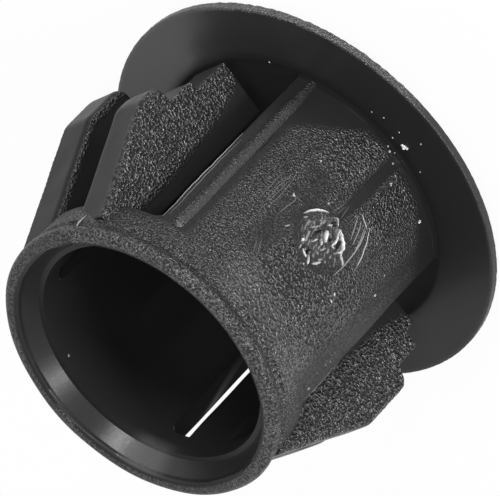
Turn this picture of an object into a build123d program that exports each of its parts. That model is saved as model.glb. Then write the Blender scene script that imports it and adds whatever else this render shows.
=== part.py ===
from build123d import *
from math import sqrt
import os

# Plastic hole plug, one moulding, millimetres.
# The origin is the centre of the closed head's outer face. +Z points to the open nose and
# +X to the panel that carries the gate scar. The spring legs stand on the +Y and -Y sides.

# Head, tube and nose ring
head_radius = 8.35
head_height = 0.8
edge_height = 0.3
bevel_width = 1.15
overall_height = 11.8
tube_radius = 5.87
wall = 1.13
ring_height = 1.86
root_radius = 0.35

# Mouth with a tapered seat above the bore
seat_step = 0.2
seat_depth = 0.88
mouth_flare = 0.36
mouth_round = 0.1

# Rounded lip round the mouth, with a shallow waist below it
lip_overhang = 0.09
lip_round = 0.22
lip_tuck = 30
lip_height = 0.92
waist_depth = 0.05

# Slots that free the spring legs, with radial side walls
slot_angle = 46.8
slot_corner_radius = 0.38

# Spring legs, in pairs beside a gap. Each has a tip, a step and a catch. What stands out is
# measured from the tube, a height from the head, and the catch's flat from its shoulder.
leg_gap = 1.6
leg_width = 1.81
leg_bore_overlap = 0.45
leg_edge_radius = 0.16
slope_start = 0.04
shoulder_radius = 0.3
catch_radius = 0.9

# Legs that catch a thin panel
low_tip_out = 0.0
low_tip_height = 1.5
low_step_out = 0.63
low_step_height = 2.05
back_left_out = 1.75
back_left_shoulder = 3.04
back_left_flat = 2.12
front_right_out = 1.41
front_right_shoulder = 3.29
front_right_flat = 2.66

# Legs that catch a thick panel
high_tip_out = 0.43
high_tip_height = 1.33
high_step_out = 0.81
high_step_height = 3.12
high_out = 1.63
high_shoulder = 4.36
high_flat = 1.08

# Raised beads beside the slots
bead_angle = 40.3
bead_radius = 0.3
bead_rise = 0.13
bead_overrun = 0.12

# Scar left where the gate was torn off
scar_height = 6.3
scar_side = -0.2
scar_length = 2.6
scar_depth = 0.3

# Sizes that follow from the ones above
bore_radius = tube_radius - wall
seat_radius = bore_radius + seat_step
mouth_radius = seat_radius + mouth_flare
lip_radius = tube_radius + lip_overhang
ring_bottom = overall_height - ring_height
seat_height = overall_height - seat_depth
lip_bottom = overall_height - lip_height
edge_bottom = head_height - edge_height
front_start = leg_gap / 2
back_start = -front_start - leg_width
leg_root = sqrt(bore_radius**2 - back_start**2) - leg_bore_overlap
scar_radius = (scar_length**2 / 4 + scar_depth**2) / (2 * scar_depth)


def spring_leg(start, side, tip, step, catch):
    """Make one leg: a stepped plate from x = start, leg_width thick, on side +1 or -1 of Y."""
    tip_reach, tip_height = tube_radius + tip[0], head_height + tip[1]
    step_reach, step_height = tube_radius + step[0], head_height + step[1]
    reach, shoulder_height = tube_radius + catch[0], head_height + catch[1]
    flat_middle = shoulder_height + catch[2] / 2
    catch_height = shoulder_height + catch[2]
    slope_top = tube_radius + slope_start
    slope = (reach - slope_top) / (ring_bottom - catch_height)
    crown_reach = slope_top - slope * (lip_bottom - ring_bottom)
    with BuildPart() as leg:
        with BuildSketch(Plane.YZ.offset(start)):
            with BuildLine():
                Polyline(
                    (side * leg_root, ring_bottom + leg_edge_radius),
                    (side * leg_root, tip_height),
                    (side * tip_reach, tip_height),
                    (side * tip_reach, step_height),
                    (side * step_reach, step_height),
                    (side * step_reach, shoulder_height),
                )
                FilletPolyline(
                    (side * step_reach, shoulder_height),
                    (side * reach, shoulder_height),
                    (side * reach, flat_middle),
                    radius=shoulder_radius,
                )
                FilletPolyline(
                    (side * reach, flat_middle),
                    (side * reach, catch_height),
                    (side * crown_reach, lip_bottom),
                    radius=catch_radius,
                )
                Line(
                    (side * crown_reach, lip_bottom),
                    (side * leg_root, ring_bottom + leg_edge_radius),
                )
            make_face()
        extrude(amount=leg_width)
        side_edges = leg.edges().filter_by(Axis.X, reverse=True)
        fillet(side_edges.filter_by(lambda edge: abs(edge.center().Y) > step_reach), leg_edge_radius)
        Cylinder(
            bore_radius,
            overall_height,
            align=(Align.CENTER, Align.CENTER, Align.MIN),
            mode=Mode.SUBTRACT,
        )
    return leg.part


low_tip = (low_tip_out, low_tip_height)
low_step = (low_step_out, low_step_height)
back_left_catch = (back_left_out, back_left_shoulder, back_left_flat)
front_right_catch = (front_right_out, front_right_shoulder, front_right_flat)
high_tip = (high_tip_out, high_tip_height)
high_step = (high_step_out, high_step_height)
high_catch = (high_out, high_shoulder, high_flat)
front_left_leg = spring_leg(front_start, 1, high_tip, high_step, high_catch)
back_left_leg = spring_leg(back_start, 1, low_tip, low_step, back_left_catch)
front_right_leg = spring_leg(front_start, -1, low_tip, low_step, front_right_catch)
back_right_leg = spring_leg(back_start, -1, high_tip, high_step, high_catch)

with BuildPart() as hole_plug:
    # Turned outside: head with a bevelled back, tube, nose ring and lip
    with BuildSketch(Plane.XZ):
        with BuildLine():
            Polyline(
                (0, 0),
                (head_radius - bevel_width, 0),
                (head_radius, edge_bottom),
                (head_radius, head_height),
                (tube_radius + root_radius, head_height),
            )
            RadiusArc(
                (tube_radius + root_radius, head_height),
                (tube_radius, head_height + root_radius),
                root_radius,
            )
            Line((tube_radius, head_height + root_radius), (tube_radius, lip_bottom))
            crest = CenterArc(
                (lip_radius - lip_round, overall_height - lip_round),
                lip_round,
                -lip_tuck,
                90 + lip_tuck,
            )
            ThreePointArc(
                (tube_radius, lip_bottom),
                (tube_radius - waist_depth, (lip_bottom + (crest @ 0).Y) / 2),
                crest @ 0,
            )
            Polyline(crest @ 1, (0, overall_height), (0, 0))
        make_face()
    revolve(axis=Axis.Z)

    # Bore and tapered mouth
    with BuildSketch(Plane.XZ):
        with BuildLine():
            Polyline(
                (0, head_height),
                (bore_radius, head_height),
                (bore_radius, seat_height),
                (seat_radius, seat_height),
                (mouth_radius, overall_height - mouth_round),
                (mouth_radius + mouth_round, overall_height),
                (0, overall_height),
                (0, head_height),
            )
        make_face()
    revolve(axis=Axis.Z, mode=Mode.SUBTRACT)

    # Side slots with radial walls and rounded top corners, between the front and back panels
    with BuildSketch(Plane.XY.offset(head_height)):
        for side in (1, -1):
            corner = Vector(head_radius, 0).rotate(Axis.Z, side * slot_angle)
            with BuildLine():
                Polyline((0, 0), corner, (0, side * head_radius), (-corner.X, corner.Y), (0, 0))
            make_face()
    extrude(amount=ring_bottom - head_height, mode=Mode.SUBTRACT)
    slot_tops = hole_plug.edges().filter_by_position(Axis.Z, ring_bottom, ring_bottom)
    fillet(slot_tops.filter_by(GeomType.LINE), slot_corner_radius)

    # Spring legs, hanging from the ring
    add([front_left_leg, back_left_leg, front_right_leg, back_right_leg])

    # Beads along the panel edges, ending in a round nose above the slots
    bead_length = ring_bottom + bead_overrun - bead_radius - head_height
    bead_place = tube_radius + bead_rise - bead_radius
    for angle in (bead_angle, -bead_angle, 180 - bead_angle, 180 + bead_angle):
        foot = Location((0, 0, head_height), (0, 0, angle)) * Location((bead_place, 0, 0))
        with Locations(foot):
            Cylinder(bead_radius, bead_length, align=(Align.CENTER, Align.CENTER, Align.MIN))
        with Locations(foot * Location((0, 0, bead_length))):
            Sphere(bead_radius)

    # Gate scar: a shallow dish torn out of the front panel
    with Locations((tube_radius - scar_depth + scar_radius, scar_side, scar_height)):
        Sphere(scar_radius, mode=Mode.SUBTRACT)

hole_plug.part.label = "hole_plug"

os.makedirs("parts", exist_ok=True)
export_step(hole_plug.part, "parts/hole_plug.step")
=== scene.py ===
"""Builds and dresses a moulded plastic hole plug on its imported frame.

Sizes are in millimetres, as in the part's own source, and turn into metres where a mesh is made.
The plug stands on its closed head, +Z points to the open nose and +X to the gate scar. Places on
the unrolled tube are given as side, which is the way round from +X, and height over the floor.
"""

import logging
import math
from dataclasses import dataclass
from enum import Enum

import bmesh
import bpy
import numpy as np
from mathutils import Matrix, Vector, noise


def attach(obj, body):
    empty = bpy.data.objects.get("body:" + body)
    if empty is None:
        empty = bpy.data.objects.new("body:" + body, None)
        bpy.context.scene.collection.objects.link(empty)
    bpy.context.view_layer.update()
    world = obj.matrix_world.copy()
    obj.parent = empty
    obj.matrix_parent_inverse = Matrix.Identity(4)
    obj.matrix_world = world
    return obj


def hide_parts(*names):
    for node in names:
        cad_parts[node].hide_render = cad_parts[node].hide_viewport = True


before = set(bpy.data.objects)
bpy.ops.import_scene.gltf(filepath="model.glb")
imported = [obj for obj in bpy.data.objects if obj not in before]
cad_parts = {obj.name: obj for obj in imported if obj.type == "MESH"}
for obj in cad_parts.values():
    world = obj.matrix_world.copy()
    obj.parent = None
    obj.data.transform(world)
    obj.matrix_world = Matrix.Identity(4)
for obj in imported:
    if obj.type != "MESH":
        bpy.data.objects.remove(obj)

MM = 0.001
BODY = "root"
NODE = "hole_plug"
# Numbers each piece carries: grain, coarse, wear with painted highlight, gloss with painted highlight, and
# painted shade.
FINISH = ("grain", "coarse", "wear_and_painted_highlight", "gloss_and_painted_highlight", "matt_and_shade")
PATCH_CORE = 0.55

Pair = tuple[float, float]
Place = tuple[float, float, float]
Colour = tuple[float, float, float, float]
Row = tuple[float, ...]

log = logging.getLogger("hole_plug")


class Grain(Enum):
    """The two kinds of moulded grain, with the spacing of their pips in millimetres."""

    FINE = 0.105
    COARSE = 0.155


class Wire:
    """A node socket that can be used in sums and products."""

    def __init__(self, board: "Board", socket: bpy.types.NodeSocket) -> None:
        """Keep the board that the socket lies on."""
        self.board = board
        self.socket = socket

    def __add__(self, other: "Wire | float") -> "Wire":
        """Return self + other."""
        return self.board.math("ADD", self, other)

    __radd__ = __add__

    def __mul__(self, other: "Wire | float") -> "Wire":
        """Return self * other."""
        return self.board.math("MULTIPLY", self, other)

    __rmul__ = __mul__

    def __sub__(self, other: "Wire | float") -> "Wire":
        """Return self - other."""
        return self.board.math("SUBTRACT", self, other)

    def __rsub__(self, other: "Wire | float") -> "Wire":
        """Return other - self."""
        return self.board.math("SUBTRACT", other, self)

    def __truediv__(self, other: "Wire | float") -> "Wire":
        """Return self / other."""
        return self.board.math("DIVIDE", self, other)


class Board:
    """A node tree that is filled one node at a time."""

    def __init__(self, tree: bpy.types.NodeTree) -> None:
        """Start with an empty tree."""
        self.tree = tree
        tree.nodes.clear()

    def add(
        self, kind: str, settings: dict | None = None, sockets: dict | None = None
    ) -> bpy.types.Node:
        """Add one node.

        Args:
            kind: The node's type name.
            settings: Its properties, set first.
            sockets: Input name or index to a value, a Wire or a socket.

        Returns:
            The new node.
        """
        node = self.tree.nodes.new(kind)
        for name, value in (settings or {}).items():
            setattr(node, name, value)
        for name, value in (sockets or {}).items():
            self._connect(node.inputs[name], value)
        return node

    def _connect(self, target: bpy.types.NodeSocket, value: object) -> None:
        """Link a wire or socket to target, or set target to a plain value."""
        if isinstance(value, Wire):
            self.tree.links.new(value.socket, target)
        elif isinstance(value, bpy.types.NodeSocket):
            self.tree.links.new(value, target)
        else:
            target.default_value = value

    def wire(self, node: bpy.types.Node, output: str | int = 0) -> Wire:
        """Wrap one of a node's outputs."""
        return Wire(self, node.outputs[output])

    def math(self, operation: str, *values: "Wire | float") -> Wire:
        """Add a Math node on up to three values."""
        sockets = dict(enumerate(values))
        return self.wire(self.add("ShaderNodeMath", {"operation": operation}, sockets))

    def clamp(self, value: Wire) -> Wire:
        """Keep a value between 0 and 1."""
        return self.wire(self.add("ShaderNodeClamp", None, {"Value": value}))

    def step(self, value: Wire, low: float, high: float) -> Wire:
        """Rise smoothly from 0 at low to 1 at high."""
        settings = {"interpolation_type": "SMOOTHSTEP"}
        sockets = {"Value": value, "From Min": low, "From Max": high}
        return self.wire(self.add("ShaderNodeMapRange", settings, sockets))

    def mix(self, share: "Wire | float", first: "Wire | float", second: "Wire | float") -> Wire:
        """Blend two numbers by share."""
        return share * (second - first) + first

    def tint(self, share: "Wire | float", first: object, second: object) -> Wire:
        """Blend two colours by share."""
        settings = {"data_type": "RGBA"}
        return self.wire(self.add("ShaderNodeMix", settings, {0: share, 6: first, 7: second}), 2)

    def attribute(self, name: str) -> Wire:
        """Read a number that the mesh carries."""
        return self.wire(self.add("ShaderNodeAttribute", {"attribute_name": name}), "Fac")


@dataclass(frozen=True)
class PlugSizes:
    """The driving sizes of the plug, in millimetres."""

    head_radius: float = 8.35
    head_height: float = 0.8
    edge_height: float = 0.3
    bevel_width: float = 1.15
    overall_height: float = 11.8
    tube_radius: float = 5.87
    bore_radius: float = 4.74
    ring_height: float = 1.86
    root_radius: float = 0.16
    mouth_radius: float = 5.3
    mouth_round: float = 0.2
    seat_radius: float = 4.94
    seat_depth: float = 0.88
    lip_radius: float = 5.96
    lip_round: float = 0.3
    lip_tuck: float = 30.0
    lip_height: float = 0.92
    waist_depth: float = 0.08
    slot_angle: float = 46.8
    slot_corner_radius: float = 0.38
    scar_side: float = -0.18
    scar_height: float = 6.15
    leg_gap: float = 1.6
    leg_width: float = 1.81

    @property
    def ring_bottom(self) -> float:
        """Height at which the slots end and the full ring starts."""
        return self.overall_height - self.ring_height

    @property
    def lip_bottom(self) -> float:
        """Height at which the waist under the lip starts."""
        return self.overall_height - self.lip_height

    @property
    def front_start(self) -> float:
        """Place along X at which the front legs start."""
        return self.leg_gap / 2

    @property
    def back_start(self) -> float:
        """Place along X at which the back legs start."""
        return -self.front_start - self.leg_width


PLUG = PlugSizes()


def on_skin(angle: float, height: float, lift: float = 0.0) -> Vector:
    """Return the point on the tube's outside at an angle in degrees and a height.

    Args:
        angle: Angle about the axis from +X, in degrees.
        height: Height over the floor.
        lift: How far out of the surface.

    Returns:
        The point, in millimetres.
    """
    turn = math.radians(angle)
    reach = PLUG.tube_radius + lift
    return Vector((reach * math.cos(turn), reach * math.sin(turn), height))


def smooth(values: np.ndarray, low: float, high: float) -> np.ndarray:
    """Rise smoothly from 0 at low to 1 at high, for every value."""
    share = np.clip((values - low) / (high - low), 0.0, 1.0)
    return share * share * (3.0 - 2.0 * share)


def fade(values: np.ndarray, low: float, high: float) -> np.ndarray:
    """Fall smoothly from 1 at low to 0 at high, for every value."""
    return 1.0 - smooth(values, low, high)


@dataclass(frozen=True)
class Band:
    """A stretch from low to high with soft ends."""

    low: float
    high: float
    soft: float

    def on(self, values: np.ndarray) -> np.ndarray:
        """Return 1 inside the stretch and 0 outside."""
        begun = smooth(values, self.low - self.soft, self.low + self.soft)
        return begun * fade(values, self.high - self.soft, self.high + self.soft)


@dataclass(frozen=True)
class Patch:
    """A round soft patch, by its middle and its half extents."""

    middle: Pair
    half: Pair

    def away(self, a: np.ndarray, b: np.ndarray) -> np.ndarray:
        """Return how far each place is from the middle, 1 on the edge."""
        return np.hypot((a - self.middle[0]) / self.half[0], (b - self.middle[1]) / self.half[1])

    def on(self, a: np.ndarray, b: np.ndarray) -> np.ndarray:
        """Return 1 in the patch's middle and 0 from its edge on."""
        return fade(self.away(a, b), PATCH_CORE, 1.0)


@dataclass(frozen=True)
class Zone:
    """A soft-edged oblong on the tube, by a band of the way round and a band of the height."""

    around: Band
    heights: Band

    def on(self, around: np.ndarray, height: np.ndarray) -> np.ndarray:
        """Return 1 inside the oblong and 0 outside."""
        return self.around.on(around) * self.heights.on(height)


def mark(values: np.ndarray, middle: float, half: float) -> np.ndarray:
    """Return 1 at middle and 0 from half away on."""
    return fade(np.abs(values - middle) / half, PATCH_CORE, 1.0)


def field(points: np.ndarray, pitch: float, seed: float) -> np.ndarray:
    """Return smooth noise of about -0.5 to 0.5 at points, with waves about pitch apart."""
    values = [noise.noise(Vector((x / pitch + seed, y / pitch, z / pitch))) for x, y, z in points]
    return np.array(values)


def arc(centre: Pair, radius: float, start: float, end: float, steps: int) -> list:
    """Return points on an arc, its ends included, with angles in degrees."""
    angles = [math.radians(start + (end - start) * i / steps) for i in range(steps + 1)]
    return [(centre[0] + radius * math.cos(t), centre[1] + radius * math.sin(t)) for t in angles]


def run(start: Pair, end: Pair, spacing: float) -> list:
    """Return points from start up to, but without, end, about spacing apart."""
    length = math.dist(start, end)
    count = max(1, round(length / spacing))
    return [
        (start[0] + (end[0] - start[0]) * i / count, start[1] + (end[1] - start[1]) * i / count)
        for i in range(count)
    ]


def to_scene(name: str, data: bpy.types.ID) -> bpy.types.Object:
    """Put data in the scene as an object."""
    made = bpy.data.objects.new(name, data)
    bpy.context.scene.collection.objects.link(made)
    return made


def new_piece(name: str, points: list, faces: list, edges: list | None = None) -> bpy.types.Object:
    """Make a mesh object from points in millimetres and put it in the scene."""
    mesh = bpy.data.meshes.new(name)
    mesh.from_pydata([tuple(c * MM for c in p) for p in points], edges or [], faces)
    return to_scene(name, mesh)


def from_work(name: str, work: bmesh.types.BMesh) -> bpy.types.Object:
    """Turn a work mesh in metres into an object in the scene, and free it."""
    mesh = bpy.data.meshes.new(name)
    work.to_mesh(mesh)
    work.free()
    return to_scene(name, mesh)


def round_off(work: bmesh.types.BMesh, edges: list, radius: float, segments: int) -> None:
    """Round edges of a work mesh.

    Args:
        work: The mesh, in metres.
        edges: The edges to round.
        radius: The rounding, in millimetres.
        segments: How many faces make up each rounding.
    """
    bmesh.ops.bevel(
        work,
        geom=edges,
        offset=radius * MM,
        segments=segments,
        profile=0.5,
        affect="EDGES",
        clamp_overlap=True,
    )


def settle(piece: bpy.types.Object) -> None:
    """Turn a piece's modifiers into a plain mesh and remove them."""
    bpy.context.view_layer.update()
    graph = bpy.context.evaluated_depsgraph_get()
    mesh = bpy.data.meshes.new_from_object(piece.evaluated_get(graph))
    piece.modifiers.clear()
    old = piece.data
    piece.data = mesh
    mesh.name = piece.name
    if isinstance(old, bpy.types.Mesh):
        bpy.data.meshes.remove(old)


def cut_away(piece: bpy.types.Object, cutter: bpy.types.Object) -> None:
    """Take the cutter's shape out of a piece, and remove the cutter."""
    cut = piece.modifiers.new("cut", "BOOLEAN")
    cut.operation = "DIFFERENCE"
    cut.solver = "EXACT"
    cut.object = cutter
    settle(piece)
    bpy.data.objects.remove(cutter)


def turn_outwards(piece: bpy.types.Object) -> None:
    """Merge doubled points and make every face point outwards."""
    work = bmesh.new()
    work.from_mesh(piece.data)
    bmesh.ops.remove_doubles(work, verts=work.verts, dist=0.0005 * MM)
    bmesh.ops.recalc_face_normals(work, faces=work.faces)
    work.to_mesh(piece.data)
    work.free()


def shade(piece: bpy.types.Object, crease: float) -> None:
    """Shade a piece smooth, but keep edges sharper than crease, in degrees."""
    piece.data.polygons.foreach_set("use_smooth", [True] * len(piece.data.polygons))
    piece.data.set_sharp_from_angle(angle=math.radians(crease))


def places(piece: bpy.types.Object) -> np.ndarray:
    """Return a mesh's points in millimetres, one row each."""
    flat = np.empty(len(piece.data.vertices) * 3)
    piece.data.vertices.foreach_get("co", flat)
    return flat.reshape(-1, 3) / MM


class Spots:
    """A mesh's points in millimetres, by every coordinate that a finish asks for."""

    def __init__(self, piece: bpy.types.Object) -> None:
        """Read the points of a piece."""
        self.places = places(piece)
        self.x, self.y, self.height = self.places.T
        self.radius = np.hypot(self.x, self.y)
        self.angle = np.degrees(np.arctan2(self.y, self.x))
        self.side = np.radians(self.angle) * PLUG.tube_radius
        self.off_skin = self.radius - PLUG.tube_radius
        self.from_slot = np.abs(np.abs(self.angle) - 90.0)


def move(piece: bpy.types.Object, points: np.ndarray) -> None:
    """Give a mesh new points, in millimetres."""
    piece.data.vertices.foreach_set("co", (points * MM).ravel())
    piece.data.update()


def carry(piece: bpy.types.Object, name: str, values: np.ndarray) -> None:
    """Store a number on each point of a mesh, for its material."""
    layer = piece.data.attributes.get(name) or piece.data.attributes.new(name, "FLOAT", "POINT")
    layer.data.foreach_set("value", np.asarray(values, dtype=np.float32))


def open_tree(name: str, inputs: dict[str, str]) -> tuple[Board, bpy.types.Node]:
    """Start a geometry node tree.

    Args:
        name: The tree's name.
        inputs: Name to kind of each input, such as Float.

    Returns:
        The tree's board and its input node.
    """
    tree = bpy.data.node_groups.new(name, "GeometryNodeTree")
    board = Board(tree)
    for label, kind in inputs.items():
        tree.interface.new_socket(name=label, in_out="INPUT", socket_type="NodeSocket" + kind)
    tree.interface.new_socket(name="Geometry", in_out="OUTPUT", socket_type="NodeSocketGeometry")
    return board, board.add("NodeGroupInput")


def close_tree(board: Board, made: bpy.types.Node, material: bpy.types.Material) -> bpy.types.NodeTree:
    """End a tree with real geometry in one material, and return the tree."""
    real = board.add("GeometryNodeRealizeInstances", None, {0: made.outputs[0]})
    sockets = {"Geometry": real.outputs[0], "Material": material}
    dressed = board.add("GeometryNodeSetMaterial", None, sockets)
    board.add("NodeGroupOutput", None, {0: dressed.outputs[0]})
    return board.tree


def run_tree(piece: bpy.types.Object, tree: bpy.types.NodeTree, values: dict[str, float]) -> None:
    """Run a tree on a piece, with its named inputs filled, and keep the plain mesh."""
    modifier = piece.modifiers.new(tree.name, "NODES")
    modifier.node_group = tree
    for item in tree.interface.items_tree:
        if item.name in values:
            modifier[item.identifier] = values[item.name]
    settle(piece)


def mount(
    piece: bpy.types.Object,
    material: bpy.types.Material,
    crease: float,
    finish: dict[str, np.ndarray | float],
) -> None:
    """Dress a finished piece and tie it to the frame.

    Args:
        piece: The piece, with its final mesh.
        material: The plastic that reads the finish.
        crease: Edges sharper than this stay hard, in degrees.
        finish: Numbers for the names in FINISH. One that is neither here nor on the mesh is 0.
    """
    for name in FINISH:
        if name in finish or piece.data.attributes.get(name) is None:
            carry(piece, name, np.broadcast_to(finish.get(name, 0.0), len(piece.data.vertices)))
    shade(piece, crease)
    piece.data.materials.clear()
    piece.data.materials.append(material)
    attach(piece, BODY)
    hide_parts(NODE)
    piece.data.calc_loop_triangles()
    log.info("%s: %d triangles", piece.name, len(piece.data.loop_triangles))


@dataclass(frozen=True)
class MouldedPlastic:
    """Black plastic with moulded grain, steered by what the mesh carries.

    The mesh carries five numbers, in the order of FINISH: how strong the pips stand; how far the
    grain turns from fine to coarse; how white the surface is from wear on the rim, scratches and
    chips, together with painted highlight on the scar's folds and low in the mouth; how glossy a
    smooth surface is on the scratches, chips and scar, together with painted highlight on the head,
    mouth, lip and beads; and how far painted shade darkens the surface and makes it rough. A dull and
    a shiny lobe are mixed; the shiny one is lighter, so pip crowns carry painted highlight and the
    valleys between them painted shade.
    """

    name: str = "moulded_black_plastic"
    colour: Colour = (0.0135, 0.0135, 0.0140, 1.0)
    # Lighter base of the shiny lobe: a painted highlight on pip crowns and on marked places.
    pip_painted_highlight_colour: Colour = (0.030, 0.030, 0.031, 1.0)
    # White of wear, also used for painted highlight.
    wear_and_highlight_colour: Colour = (0.80, 0.80, 0.81, 1.0)
    # Darker base and rougher surface for painted shade.
    painted_shade_colour: Colour = (0.006, 0.006, 0.006, 1.0)
    satin: float = 0.36
    painted_shade_roughness: float = 0.95
    polish: float = 0.26
    dull_reflection: float = 0.14
    pip_reflection: float = 1.0
    pip_height: float = 0.105
    pip_waves: float = 1.5
    pip_gain: float = 2.2
    pip_floor: float = 0.6
    fine_height: float = 0.6
    patch_scale: float = 900.0
    patch_height: float = 0.15
    speckle_scale: float = 30000.0
    speckle_height: float = 0.02
    # Share of the shiny lobe left in the grain's valleys, which otherwise hold painted shade.
    valley_painted_light: float = 0.1
    pip_foot: float = 0.3
    pip_crown: float = 0.7

    def cloud(self, board: Board, place: Wire, scale: float, detail: float) -> Wire:
        """Add plain noise from 0 to 1."""
        sockets = {"Vector": place, "Scale": scale, "Detail": detail}
        return board.wire(board.add("ShaderNodeTexNoise", None, sockets))

    def pips(self, board: Board, place: Wire, grain: Grain) -> Wire:
        """Add one kind of grain.

        Args:
            board: The tree to fill.
            place: The coordinates it follows.
            grain: The kind, which sets how far apart the pips are.

        Returns:
            Height from 0 in the valleys to 1 on a pip.
        """
        sockets = {
            "Vector": place,
            "Scale": self.pip_waves / (grain.value * MM),
            "Detail": 1.0,
            "Roughness": 0.35,
            "Distortion": 0.2,
        }
        waves = board.wire(board.add("ShaderNodeTexNoise", None, sockets))
        return board.clamp(waves * self.pip_gain - self.pip_floor)

    def lobe(self, board: Board, colour: Wire, sockets: dict) -> bpy.types.NodeSocket:
        """Add one of the two lobes, and return its output."""
        return board.add("ShaderNodeBsdfPrincipled", None, {"Base Color": colour, **sockets}).outputs[0]

    def build(self) -> bpy.types.Material:
        """Make the material.

        Returns:
            The finished material.
        """
        material = bpy.data.materials.new(self.name)
        material.use_nodes = True
        board = Board(material.node_tree)
        place = board.wire(board.add("ShaderNodeTexCoord"), "Object")
        grain, coarse, wear_and_painted_highlight, gloss_and_painted_highlight, matt_and_shade = (board.attribute(name) for name in FINISH)
        fine_pips = self.pips(board, place, Grain.FINE)
        relief = board.mix(coarse, fine_pips, self.pips(board, place, Grain.COARSE))
        patchy = self.cloud(board, place, self.patch_scale, 3.0)
        speckle = self.cloud(board, place, self.speckle_scale, 1.0)
        strength = board.clamp(grain * (0.45 + patchy * 1.1))
        height = relief * strength * (self.fine_height + coarse * (1.0 - self.fine_height))
        height = height + speckle * self.speckle_height + patchy * self.patch_height
        bump = board.add("ShaderNodeBump", None, {
            "Strength": 1.0,
            "Distance": self.pip_height * MM,
            "Height": height,
        })
        # White from wear on the rim, scratches and chips, and painted highlight on the scar's folds and low
        # in the mouth.
        wear_and_highlight_tint = board.clamp(wear_and_painted_highlight * (0.35 + speckle * 1.3))
        # Painted shade: a darker base colour and a rough surface where the mesh marks shade.
        plain = board.tint(matt_and_shade, self.colour, self.painted_shade_colour)
        dull = self.lobe(board, board.tint(wear_and_highlight_tint, plain, self.wear_and_highlight_colour), {
            "Roughness": board.mix(matt_and_shade, self.satin, self.painted_shade_roughness),
            "Specular IOR Level": self.dull_reflection,
            "Normal": bump.outputs["Normal"],
        })
        shiny = self.lobe(board, board.tint(wear_and_highlight_tint, self.pip_painted_highlight_colour, self.wear_and_highlight_colour), {
            "Roughness": self.polish,
            "Specular IOR Level": self.pip_reflection,
            "Normal": bump.outputs["Normal"],
        })
        # Painted highlight on the pip crowns and painted shade in their valleys: crowns take the lighter,
        # shinier lobe.
        crown = board.step(relief, self.pip_foot, self.pip_crown)
        painted_shine = self.valley_painted_light + crown * (1.0 - self.valley_painted_light)
        share = board.clamp(strength * painted_shine + gloss_and_painted_highlight + wear_and_painted_highlight)
        both = board.add("ShaderNodeMixShader", None, {0: share, 1: dull, 2: shiny})
        board.add("ShaderNodeOutputMaterial", None, {"Surface": both.outputs[0]})
        return material


TORN_ARC = Band(12.0, 72.0, 8.0)


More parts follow.
